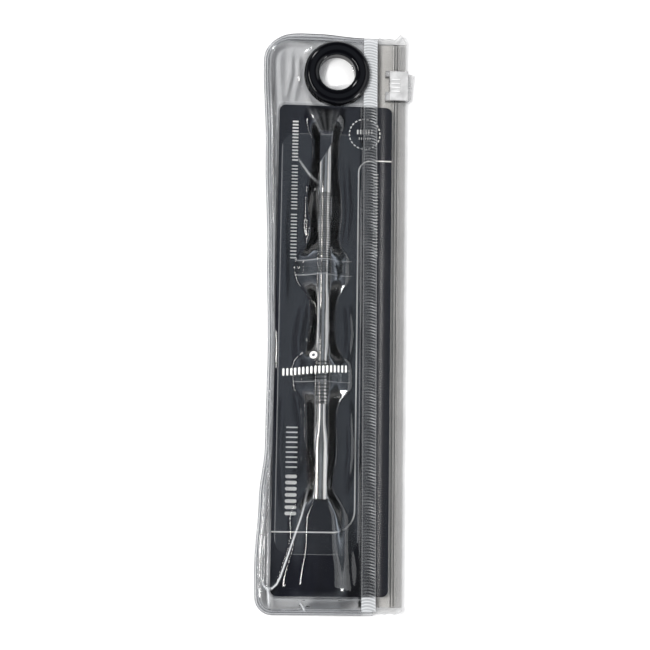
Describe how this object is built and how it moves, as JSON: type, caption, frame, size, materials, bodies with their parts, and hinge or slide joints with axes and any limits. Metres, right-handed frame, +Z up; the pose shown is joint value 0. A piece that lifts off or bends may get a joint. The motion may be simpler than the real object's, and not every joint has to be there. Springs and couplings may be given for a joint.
{
  "type": "cuticle pusher in a slider-zip pouch",
  "caption": "Steel cuticle pusher with a skew blade and a spoon end, strapped to a dark card inside a clear hanging pouch with a round eyelet and a slider zip.",
  "frame": {"origin": "on the hanging eyelet's axis, in the plane the pouch rests on", "axes": "+X across the pouch towards the slider zip, +Y along it towards the eyelet, +Z up through the front film"},
  "size_m": [0.0545, 0.212, 0.0077],
  "materials": {
    "clear_film": "clear soft film, glossy",
    "clear_sheet": "clear stiff sheet, glossy",
    "zip_tape": "milky translucent, satin",
    "slider_plastic": "frosted translucent, moulded",
    "black_plastic": "black, glossy",
    "printed_card": "printed near-black navy, satin",
    "steel": "brushed stainless steel"
  },
  "bodies": {
    "pouch": {"back_film": "clear_film", "front_film": "clear_film", "eyelet_front": "black_plastic", "eyelet_back": "black_plastic", "zip_back_tape": "zip_tape", "zip_front_tape": "zip_tape", "zip_end_weld_top": "zip_tape", "zip_end_weld_bottom": "zip_tape"},
    "slider": {"slider_front_shell": "slider_plastic", "slider_back_shell": "slider_plastic"},
    "insert": {"insert_card": "printed_card", "holder_sheet": "clear_sheet", "strap_upper": "clear_sheet", "strap_lower": "clear_sheet"},
    "pusher": {"pusher_handle": "steel", "pusher_blade_tip": "steel", "pusher_spoon_tip": "steel"}
  },
  "joints": [
    {"name": "slider_travel", "type": "slide", "parent": "pouch", "child": "slider", "axis": [0, -1, 0], "range_m": [-0.0104, 0.1848]},
    {"name": "insert_shift", "type": "slide", "parent": "pouch", "child": "insert", "axis": [0, -1, 0], "range_m": [0, 0.003]},
    {"name": "pusher_slide", "type": "slide", "parent": "insert", "child": "pusher", "axis": [0, -1, 0], "range_m": [-0.004, 0.026]}
  ]
}
